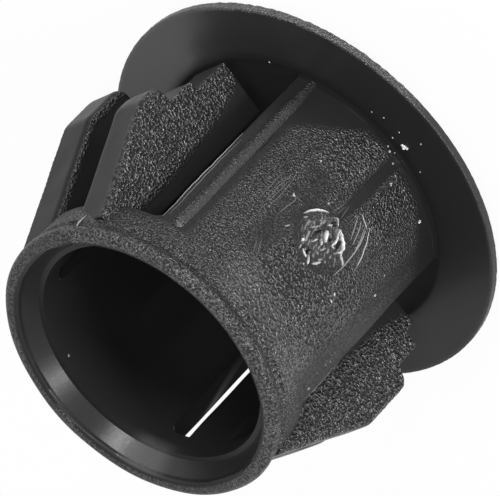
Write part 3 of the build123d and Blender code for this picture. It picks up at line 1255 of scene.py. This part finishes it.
@dataclass
class GateScar:
    """The torn stub left by the gate: curled folds, crumbs and clefts in a shallow bowl."""

    sizes: PlugSizes = PLUG
    bowl: Patch = Patch((PLUG.scar_side, PLUG.scar_height), (1.32, 1.32))
    margin: float = 0.12
    spacing: float = 0.026
    depth: float = 0.13
    under: float = 0.62
    edge_sink: float = 0.06
    ragged: float = 0.012
    torn_rise: float = 0.07
    crumb_rise: float = 0.025
    fleck_white: float = 0.26
    # White of the torn folds, which also holds a painted highlight on their cores.
    fold_white_and_highlight: float = 0.8
    torn_shine: float = 0.3
    rest_grain: float = 0.35
    rest_coarse: float = 0.4
    hard_edge: float = 60.0
    folds: tuple[Fold, ...] = (
        Fold(((1.03, 5.98), (0.93, 5.70), (0.75, 5.42), (0.55, 5.22), (0.38, 5.13)), 0.055, 0.11, 1.0),
        Fold(((0.92, 6.12), (0.85, 5.93)), 0.04, 0.05, 0.35),
        Fold(((0.60, 6.45), (0.66, 6.10), (0.55, 5.75)), 0.05, 0.04, 0.12),
        Fold(((-0.05, 5.62), (-0.19, 5.80), (-0.31, 5.97)), 0.085, 0.13, 1.1),
        Fold(((-0.20, 6.05), (-0.30, 6.17)), 0.05, 0.08, 0.75),
        Fold(
            ((-0.35, 5.17), (-0.60, 5.25), (-0.82, 5.36), (-0.98, 5.52), (-1.0, 5.70), (-0.92, 5.86)),
            0.06, 0.13, 1.0,
        ),
        Fold(((-0.40, 5.22), (-0.55, 5.42), (-0.62, 5.62), (-0.60, 5.80), (-0.78, 5.76)), 0.055, 0.10, 0.8),
        Fold(((-0.68, 5.42), (-0.78, 5.54), (-0.86, 5.68)), 0.06, -0.16, 0.0),
        Fold(((-1.04, 5.64), (-1.12, 5.76), (-1.26, 5.84), (-1.42, 5.95)), 0.06, 0.07, 0.55),
        Fold(((0.38, 6.66), (0.38, 6.80)), 0.07, 0.09, 0.85),
        Fold(((0.27, 7.20), (0.30, 6.92)), 0.04, 0.06, 0.55),
        Fold(((0.16, 7.05), (0.02, 7.08), (-0.12, 7.18)), 0.06, 0.08, 0.85),
        Fold(((-0.20, 6.98), (-0.30, 7.18), (-0.34, 7.34)), 0.06, 0.08, 0.75),
        Fold(((-0.24, 7.44), (-0.24, 7.48)), 0.04, 0.05, 0.7),
        Fold(((-0.50, 7.10), (-0.62, 6.88), (-0.72, 6.68)), 0.06, 0.07, 0.6),
        Fold(((-0.05, 7.02), (-0.10, 6.70)), 0.05, -0.16, 0.0),
        Fold(((0.50, 6.12), (0.34, 5.86), (0.22, 5.60)), 0.045, 0.06, 0.3),
        Fold(((0.06, 6.46), (0.02, 6.28), (-0.02, 6.16)), 0.045, 0.07, 0.4),
        Fold(((0.30, 6.52), (0.42, 6.22)), 0.045, 0.05, 0.25),
        Fold(((-0.42, 6.36), (-0.52, 6.05)), 0.045, 0.06, 0.4),
        Fold(((0.14, 6.40), (0.22, 6.05), (0.10, 5.75)), 0.05, -0.09, 0.0),
        Fold(((-0.38, 5.78), (-0.46, 5.58)), 0.06, -0.12, 0.0),
        Fold(((0.12, 5.04), (-0.03, 4.94), (-0.24, 5.11)), 0.035, 0.05, 0.45),
        Fold(((0.00, 5.17), (-0.18, 5.13)), 0.05, -0.12, 0.0),
        Fold(((0.05, 5.40), (-0.06, 5.24)), 0.04, 0.05, 0.45),
    )

    def form_of(self, a: np.ndarray, b: np.ndarray, fold: Fold, ragged: np.ndarray) -> np.ndarray:
        """Return how strong a fold stands at each place, thinning out towards its ends."""
        steps = [math.dist(p, q) for p, q in zip(fold.line, fold.line[1:])]
        nearest = np.full(a.size, 9.0)
        along = np.zeros(a.size)
        done = 0.0
        for (a0, b0), (a1, b1), step in zip(fold.line, fold.line[1:], steps):
            share = np.clip(((a - a0) * (a1 - a0) + (b - b0) * (b1 - b0)) / step**2, 0.0, 1.0)
            away = np.hypot(a - a0 - share * (a1 - a0), b - b0 - share * (b1 - b0))
            along = np.where(away < nearest, (done + share * step) / sum(steps), along)
            nearest = np.minimum(nearest, away)
            done += step
        width = fold.half_width * ragged * (0.3 + 0.7 * np.sin(np.pi * along))
        return np.exp(-((nearest / width) ** 2))

    def relief(self, a: np.ndarray, b: np.ndarray) -> tuple[np.ndarray, np.ndarray]:
        """Return the torn surface's height and whiteness.

        Args:
            a: Side of each place on the unrolled tube.
            b: Height of each place over the floor.

        Returns:
            The height over the tube's skin, and the whiteness from 0 to 1, which on the fold cores also
            holds a painted highlight.
        """
        flat = np.stack([a, b, np.zeros(a.size)], axis=1)
        away = self.bowl.away(a, b)
        inside = fade(away, 0.55, 0.92)
        a = a + self.ragged * field(flat, 0.12, 1.0)
        b = b + self.ragged * field(flat, 0.12, 8.0)
        swirl = np.stack([a + 0.4 * b, b - 0.4 * a, 0.3 * a], axis=1)
        torn = self.torn_rise * field(swirl * (1.0, 0.35, 1.0), 0.11, 4.0)
        torn += self.crumb_rise * field(flat, 0.05, 6.0)
        flecks = smooth(field(swirl * (1.0, 0.3, 1.0), 0.06, 2.5), 0.15, 0.45)
        height = inside * (torn - self.depth)
        white = inside * flecks * self.fleck_white
        for fold in self.folds:
            form = self.form_of(a, b, fold, 1.0 + 0.25 * field(flat, 0.08, 3.0))
            height = height + fold.rise * form
            patchy = 1.1 + 0.6 * field(flat, 0.06, 7.0)
            white = np.maximum(white, fold.white * smooth(form, 0.3, 0.8) * patchy)
            if fold.rise < 0:
                white = white * fade(form, 0.2, 0.7)
        hidden = smooth(away, 0.97, 1.05)
        return height * (1.0 - hidden) - self.edge_sink * hidden, np.clip(white, 0.0, 1.0)

    def build(self, material: bpy.types.Material) -> None:
        """Make the torn surface as a thin closed patch and mount it."""
        s = self.sizes
        spans = [np.arange(-half - self.margin, half + self.margin, self.spacing) for half in self.bowl.half]
        a, b = np.meshgrid(*(span + middle for span, middle in zip(spans, self.bowl.middle)))
        rows, columns = a.shape
        a, b = a.ravel(), b.ravel()
        height, white = self.relief(a, b)
        turn = a / s.tube_radius
        points = []
        for lift in (height, np.full(height.size, -self.under)):
            reach = s.tube_radius + lift
            points += list(zip(reach * np.cos(turn), reach * np.sin(turn), b))
        back = rows * columns
        faces = []
        for j in range(rows - 1):
            for i in range(columns - 1):
                k = j * columns + i
                faces.append((k, k + 1, k + columns + 1, k + columns))
                faces.append((back + k, back + k + columns, back + k + columns + 1, back + k + 1))
        edge = list(range(columns))
        edge += [j * columns + columns - 1 for j in range(1, rows)]
        edge += [(rows - 1) * columns + i for i in range(columns - 2, -1, -1)]
        edge += [j * columns for j in range(rows - 2, 0, -1)]
        faces += [(m, n, back + n, back + m) for m, n in zip(edge, edge[1:] + edge[:1])]
        piece = new_piece("gate_scar", points, faces)
        torn = fade(self.bowl.away(a, b), 0.5, 0.85)
        blank = np.zeros(white.size)
        # White of the torn folds, with a painted highlight on their cores, stored with the wear.
        carry(piece, "wear_and_painted_highlight", np.concatenate([white * self.fold_white_and_highlight, blank]))
        carry(piece, "gloss_and_painted_highlight", np.concatenate([torn * self.torn_shine, blank]))
        carry(piece, "grain", np.concatenate([(1.0 - torn) * self.rest_grain, blank]))
        carry(piece, "coarse", np.concatenate([blank + self.rest_coarse, blank]))
        turn_outwards(piece)
        mount(piece, material, self.hard_edge, {})


@dataclass(frozen=True)
class Scratch:
    """A thin raised sliver on the unrolled tube, through places as side and height."""

    line: tuple[Pair, ...]
    half_width: float
    white: float


@dataclass
class Slivers:
    """Scratches, flow lines and flash, swept along their lines by a node tree."""

    sizes: PlugSizes = PLUG
    step: float = 0.07
    sides: int = 8
    wander: float = 0.02
    sunk_share: float = 0.3
    lift: float = 0.004
    hard_edge: float = 70.0
    scratches: tuple[Scratch, ...] = (
        Scratch(((-0.57, 3.88), (-0.80, 3.97), (-1.10, 4.05)), 0.024, 0.35),
        Scratch(((-0.50, 4.05), (-0.62, 4.35), (-0.95, 5.00)), 0.020, 0.24),
        Scratch(((-0.75, 4.10), (-0.95, 4.50), (-1.15, 5.05)), 0.020, 0.24),
        Scratch(((-1.00, 4.10), (-1.25, 4.60), (-1.42, 5.10), (-1.47, 5.90), (-1.42, 6.60)), 0.022, 0.30),
        Scratch(((-1.12, 4.15), (-1.35, 4.70), (-1.45, 5.30)), 0.022, 0.28),
        Scratch(((-1.18, 3.90), (-1.55, 4.45), (-1.75, 4.85), (-1.90, 5.30)), 0.024, 0.38),
        Scratch(((-1.50, 4.30), (-1.85, 5.00), (-1.97, 5.60)), 0.018, 0.20),
        Scratch(((2.12, 6.95), (2.09, 6.00), (2.15, 5.00)), 0.014, 0.10),
        Scratch(((2.24, 6.70), (2.22, 5.20)), 0.012, 0.07),
        Scratch(((2.34, 6.90), (2.36, 5.90), (2.30, 4.90)), 0.014, 0.09),
        Scratch(((2.46, 6.60), (2.44, 5.40)), 0.012, 0.07),
        Scratch(((2.60, 6.80), (2.58, 6.00), (2.62, 5.10)), 0.014, 0.08),
        Scratch(((1.69, 6.82), (1.58, 5.55)), 0.014, 0.12),
        Scratch(((1.20, 8.90), (1.48, 8.20)), 0.014, 0.08),
        Scratch(((1.36, 8.95), (1.60, 8.35)), 0.014, 0.08),
        Scratch(((0.30, 5.00), (0.16, 4.20)), 0.014, 0.07),
        Scratch(((0.10, 4.90), (0.06, 4.25)), 0.014, 0.07),
        Scratch(((-0.12, 4.85), (-0.02, 4.10)), 0.014, 0.07),
        Scratch(((1.20, 7.00), (1.10, 6.80)), 0.03, 0.30),
        Scratch(((4.79, 9.80), (4.80, 8.20), (4.78, 6.40), (4.80, 4.60)), 0.022, 0.26),
        Scratch(((4.66, 9.60), (4.66, 8.00), (4.68, 6.20), (4.66, 4.90)), 0.014, 0.14),
        Scratch(((7.60, 11.45), (7.80, 11.00), (7.75, 10.60)), 0.03, 0.45),
        Scratch(((-4.79, 9.75), (-4.80, 8.60), (-4.78, 7.40)), 0.014, 0.12),
    )

    def spine(self, scratch: Scratch) -> tuple[list, list]:
        """Return a scratch's points on the skin and its half width at each of them."""
        flat = []
        for start, end in zip(scratch.line, scratch.line[1:]):
            flat += run(start, end, self.step)
        flat.append(scratch.line[-1])
        count = len(flat)
        thickened = [0.25 + 0.75 * math.sin(math.pi * (i + 0.5) / count) for i in range(count)]
        widths = [scratch.half_width * share for share in thickened]
        offsets = MouldedShell().skin_offset(*np.array(flat).T)
        points = []
        for (side, height), width, offset in zip(flat, widths, offsets):
            wander = self.wander * noise.noise(Vector((side * 3.0, height * 3.0, 0.5)))
            angle = math.degrees((side + wander) / self.sizes.tube_radius)
            points.append(on_skin(angle, height, offset - self.sunk_share * width + self.lift))
        return points, widths

    def tree(self, material: bpy.types.Material) -> bpy.types.NodeTree:
        """Make the tree that sweeps a round section along every line."""
        board, given = open_tree("sliver_sweep", {"Geometry": "Geometry", "Unit": "Float"})
        lines = board.add("GeometryNodeMeshToCurve", None, {"Mesh": given.outputs["Geometry"]})
        section = {"Resolution": self.sides, "Radius": given.outputs["Unit"]}
        ring = board.add("GeometryNodeCurvePrimitiveCircle", None, section)
        named = {"Name": "half_width"}
        width = board.add("GeometryNodeInputNamedAttribute", {"data_type": "FLOAT"}, named)
        swept = board.add("GeometryNodeCurveToMesh", None, {
            "Curve": lines.outputs[0],
            "Profile Curve": ring.outputs[0],
            "Scale": width.outputs[0],
            "Fill Caps": True,
        })
        return close_tree(board, swept, material)

    def build(self, material: bpy.types.Material) -> None:
        """Sweep every scratch and mount them as one piece."""
        points, widths, whites, edges = [], [], [], []
        for scratch in self.scratches:
            spine, half_widths = self.spine(scratch)
            edges += [(len(points) + i, len(points) + i + 1) for i in range(len(spine) - 1)]
            points += spine
            widths += half_widths
            whites += [scratch.white] * len(spine)
        piece = new_piece("slivers", points, [], edges)
        carry(piece, "half_width", np.array(widths))
        carry(piece, "wear_and_painted_highlight", np.array(whites))
        run_tree(piece, self.tree(material), {"Unit": MM})
        turn_outwards(piece)
        mount(piece, material, self.hard_edge, {"gloss_and_painted_highlight": 1.0})


@dataclass(frozen=True)
class Crumb:
    """A small chip, by where it sits and how big it is, in millimetres."""

    place: Place
    size: float
    white: float = 0.6


def tube_crumb(side: float, height: float, size: float, white: float = 0.6) -> Crumb:
    """Return a crumb on the unrolled tube."""
    return Crumb(tuple(on_skin(math.degrees(side / PLUG.tube_radius), height)), size, white)


def head_crumb(x: float, y: float, size: float, white: float = 0.6) -> Crumb:
    """Return a crumb on the head's underside."""
    return Crumb((x, y, PLUG.head_height), size, white)


def inner_crumb(angle: float, height: float, radius: float, size: float, white: float = 0.6) -> Crumb:
    """Return a crumb on the mouth's inside."""
    turn = math.radians(angle)
    return Crumb((radius * math.cos(turn), radius * math.sin(turn), height), size, white)


@dataclass
class Crumbs:
    """Loose chips and dust specks, spread and turned by a node tree."""

    crumbs: tuple[Crumb, ...] = (
        head_crumb(6.35, 0.16, 0.13, 1.0),
        head_crumb(6.44, 0.05, 0.07, 1.0),
        head_crumb(6.14, 0.66, 0.04),
        head_crumb(6.42, 1.48, 0.04),
        head_crumb(6.07, 1.87, 0.03),
        head_crumb(7.22, 0.01, 0.035),
        head_crumb(6.62, 0.75, 0.03),
        head_crumb(3.08, 5.19, 0.035),
        head_crumb(7.42, 3.64, 0.03, 0.3),
        head_crumb(6.23, -0.98, 0.03),
        tube_crumb(0.30, 1.10, 0.06, 0.7),
        tube_crumb(0.48, 1.00, 0.045, 0.6),
        tube_crumb(-0.10, 1.30, 0.05, 0.5),
        tube_crumb(0.12, 0.95, 0.04, 0.6),
        tube_crumb(-0.60, 1.95, 0.07, 0.45),
        tube_crumb(-0.50, 1.55, 0.05, 0.4),
        tube_crumb(1.73, 5.72, 0.06, 0.7),
        tube_crumb(1.88, 3.70, 0.04),
        tube_crumb(0.62, 4.83, 0.045, 0.4),
        tube_crumb(-3.53, 4.86, 0.05, 0.5),
        tube_crumb(-2.59, 1.48, 0.07, 0.7),
        tube_crumb(-3.15, 4.10, 0.035, 0.4),
        tube_crumb(-2.10, 7.20, 0.055, 0.6),
        tube_crumb(-2.00, 6.92, 0.055, 0.7),
        tube_crumb(-1.92, 7.10, 0.035, 0.5),
        tube_crumb(-4.20, 8.30, 0.035, 0.3),
        tube_crumb(-4.30, 8.00, 0.035, 0.3),
        tube_crumb(-4.45, 9.45, 0.05, 0.3),
        inner_crumb(170.7, 10.66, 5.10, 0.07, 0.5),
        inner_crumb(170.2, 10.80, 5.13, 0.05, 0.5),
        inner_crumb(168.9, 10.50, 4.74, 0.05, 0.3),
    )
    seed: int = 7
    fineness: int = 4
    white_share: float = 0.8
    hard_edge: float = 40.0

    def tree(self, material: bpy.types.Material) -> bpy.types.NodeTree:
        """Make the tree that sets a turned lump on every point."""
        kinds = {"Geometry": "Geometry", "Unit": "Float", "Seed": "Int"}
        board, given = open_tree("crumb_spread", kinds)
        form = {"Radius": given.outputs["Unit"], "Subdivisions": self.fineness}
        lump = board.add("GeometryNodeMeshIcoSphere", None, form)
        size = board.add("GeometryNodeInputNamedAttribute", {"data_type": "FLOAT"}, {"Name": "size"})
        turn = board.add("FunctionNodeRandomValue", {"data_type": "FLOAT_VECTOR"}, {
            0: (0.0, 0.0, 0.0),
            1: (math.tau, math.tau, math.tau),
            "Seed": given.outputs["Seed"],
        })
        spread = board.add("GeometryNodeInstanceOnPoints", None, {
            "Points": given.outputs["Geometry"],
            "Instance": lump.outputs[0],
            "Rotation": turn.outputs[0],
            "Scale": size.outputs[0],
        })
        return close_tree(board, spread, material)

    def build(self, material: bpy.types.Material) -> None:
        """Spread the crumbs, break their round form and mount them as one piece."""
        points = np.array([crumb.place for crumb in self.crumbs])
        sizes = np.array([crumb.size for crumb in self.crumbs])
        whites = np.array([self.white_share * crumb.white for crumb in self.crumbs])
        piece = new_piece("crumbs", [crumb.place for crumb in self.crumbs], [])
        carry(piece, "size", sizes)
        run_tree(piece, self.tree(material), {"Unit": MM, "Seed": self.seed})
        p = places(piece)
        each = len(p) // len(self.crumbs)
        centre = np.repeat(points, each, axis=0)
        size = np.repeat(sizes, each)
        broken = 0.75 + 0.9 * field((p - centre) / size[:, None] + centre, 0.9, 4.0)
        move(piece, centre + (p - centre) * broken[:, None])
        finish = {"wear_and_painted_highlight": np.repeat(whites, each), "gloss_and_painted_highlight": 1.0}
        mount(piece, material, self.hard_edge, finish)


@dataclass(frozen=True)
class PhotoStudio:
    """Camera, soft light and pale floor."""

    azimuth: float = 15.36
    elevation: float = 37.4
    roll: float = -136.44
    aim_height: float = 4.334
    distance: float = 248.17
    lens: float = 483.86
    sensor: float = 36.0
    clip: Pair = (0.005, 10.0)
    white: Colour = (1.0, 1.0, 1.0, 1.0)
    floor_colour: Colour = (0.95, 0.95, 0.95, 1.0)
    floor_low: float = -0.02
    floor_half: float = 1.5
    floor_glow: float = 0.94
    floor_mirror: float = 0.5
    surround: float = 0.5
    lamp_distance: float = 1.0
    lamp_width: float = 0.2
    lamps: tuple[tuple[str, float, float, float], ...] = (
        ("lamp_right", -22.0, 14.0, 6.0),
        ("lamp_left", 42.0, 16.0, 4.0),
        ("lamp_top", 15.0, 48.0, 3.0),
    )

    def facing(self, azimuth: float, elevation: float) -> Vector:
        """Return the direction from the plug to a place, with angles in degrees."""
        a, e = math.radians(azimuth), math.radians(elevation)
        return Vector((math.cos(e) * math.cos(a), math.cos(e) * math.sin(a), math.sin(e)))

    def set_camera(self) -> None:
        """Put the camera where the photograph was taken from."""
        back = self.facing(self.azimuth, self.elevation)
        right = Vector((0.0, 0.0, 1.0)).cross(back).normalized()
        up = back.cross(right)
        level = Matrix((right, up, back)).transposed()
        data = bpy.data.cameras.new("camera")
        data.sensor_width = self.sensor
        data.lens = self.lens
        data.clip_start, data.clip_end = self.clip
        camera = to_scene("camera", data)
        turned = Matrix.Rotation(math.radians(self.roll), 3, back) @ level
        stand = Vector((0.0, 0.0, self.aim_height)) * MM + back * self.distance * MM
        camera.matrix_world = Matrix.Translation(stand) @ turned.to_4x4()
        bpy.context.scene.camera = camera

    def seen(self, board: Board, mirrored: float = 1.0) -> Wire:
        """Return 1 where a ray shows the background plainly, and 0 where it only lights.

        Args:
            board: The tree to fill.
            mirrored: What counts for a ray that was mirrored by a surface.

        Returns:
            The share of the plain background.
        """
        rays = board.add("ShaderNodeLightPath")
        seen = board.wire(rays, "Is Camera Ray") + board.wire(rays, "Is Glossy Ray") * mirrored
        return board.clamp(seen + board.wire(rays, "Is Transmission Ray"))

    def set_light(self) -> None:
        """Light the plug with an even pale surround and three soft lamps."""
        world = bpy.data.worlds.new("surround")
        world.use_nodes = True
        board = Board(world.node_tree)
        level = board.mix(self.seen(board), self.surround, 1.0)
        glow = board.add("ShaderNodeBackground", None, {"Color": self.white, "Strength": level})
        board.add("ShaderNodeOutputWorld", None, {"Surface": glow.outputs[0]})
        bpy.context.scene.world = world
        for name, azimuth, elevation, power in self.lamps:
            data = bpy.data.lights.new(name, "AREA")
            data.shape = "SQUARE"
            data.size = self.lamp_width
            data.energy = power
            lamp = to_scene(name, data)
            away = self.facing(azimuth, elevation)
            turned = away.to_track_quat("Z", "Y").to_matrix().to_4x4()
            lamp.matrix_world = Matrix.Translation(away * self.lamp_distance) @ turned
            lamp.visible_camera = False

    def set_floor(self) -> None:
        """Lay the pale floor that keeps a soft shadow of the plug."""
        half = self.floor_half / MM
        plan = ((-half, -half), (half, -half), (half, half), (-half, half))
        floor = new_piece("floor", [(x, y, self.floor_low) for x, y in plan], [(0, 1, 2, 3)])
        material = bpy.data.materials.new("pale_floor")
        material.use_nodes = True
        board = Board(material.node_tree)
        matt_and_shade = board.add("ShaderNodeBsdfDiffuse", None, {"Color": self.floor_colour})
        glow = board.add("ShaderNodeEmission", None, {"Color": self.white, "Strength": 1.0})
        share = self.seen(board, self.floor_mirror) * self.floor_glow
        both = board.add("ShaderNodeMixShader", None, {0: share, 1: matt_and_shade.outputs[0], 2: glow.outputs[0]})
        board.add("ShaderNodeOutputMaterial", None, {"Surface": both.outputs[0]})
        floor.data.materials.append(material)

    def build(self) -> None:
        """Set up camera, light and floor."""
        self.set_camera()
        self.set_light()
        self.set_floor()
        bpy.context.scene.view_settings.view_transform = "Standard"


def main() -> None:
    """Build every piece in order."""
    logging.basicConfig(level=logging.INFO, format="%(name)s: %(message)s")
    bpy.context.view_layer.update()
    PhotoStudio().build()
    plastic = MouldedPlastic().build()

    shell = MouldedShell()
    shell.build_skin()
    shell.cut_slots()
    shell.dress(plastic)

    SpringLegs("left_legs", LEFT_LEGS).build(plastic)
    SpringLegs("right_legs", RIGHT_LEGS).build(plastic)
    SlotBeads().build(plastic)
    GateScar().build(plastic)
    Slivers().build(plastic)
    Crumbs().build(plastic)


if __name__ == "__main__":
    main()
